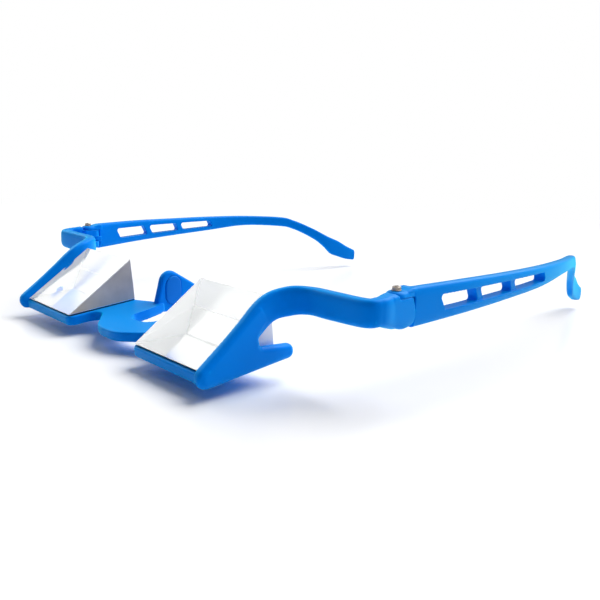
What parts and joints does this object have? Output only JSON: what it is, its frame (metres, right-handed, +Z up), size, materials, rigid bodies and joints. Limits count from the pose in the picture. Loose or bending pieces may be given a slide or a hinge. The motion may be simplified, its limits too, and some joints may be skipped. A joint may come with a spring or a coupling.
{
  "type": "belay glasses",
  "caption": "Blue moulded spectacles with a wedge prism in front of each eye, so that the wearer sees what is above while looking straight ahead; slotted folding temples.",
  "frame": {"origin": "middle of the glasses in plan, on the surface that they stand on with the temples open", "axes": "+X to the wearer's left, +Y from the prisms back to the ear tips, +Z up"},
  "size_m": [0.1518, 0.1645, 0.0222],
  "materials": {
    "blue_plastic": "moulded nylon, fine satin grain",
    "prism_glass": "polished crown glass, ground sides",
    "silver_coat": "silvered",
    "black_bond": "black adhesive",
    "soft_pad": "matt soft plastic",
    "screw_steel": "turned, bright",
    "insert_brass": "turned"
  },
  "bodies": {
    "front": {"front_frame": "blue_plastic", "prism_left": "prism_glass", "prism_right": "prism_glass", "mirror_coat_left": "silver_coat", "mirror_coat_right": "silver_coat", "bonding_bed_left": "black_bond", "bonding_bed_right": "black_bond", "nose_pad_left": "soft_pad", "nose_pad_right": "soft_pad", "hinge_screw_left": "screw_steel", "hinge_screw_right": "screw_steel", "hinge_washer_left": "screw_steel", "hinge_washer_right": "screw_steel", "hinge_insert_left": "insert_brass", "hinge_insert_right": "insert_brass"},
    "temple_left": {"temple_left": "blue_plastic"},
    "temple_right": {"temple_right": "blue_plastic"}
  },
  "joints": [
    {"name": "temple_left_hinge", "type": "hinge", "parent": "front", "child": "temple_left", "pos_m": [0.07, -0.04764, 0.01645], "axis": [0, 0, 1], "range_deg": [0, 85]},
    {"name": "temple_right_hinge", "type": "hinge", "parent": "front", "child": "temple_right", "pos_m": [-0.07, -0.04764, 0.01645], "axis": [0, 0, -1], "range_deg": [0, 79]}
  ]
}
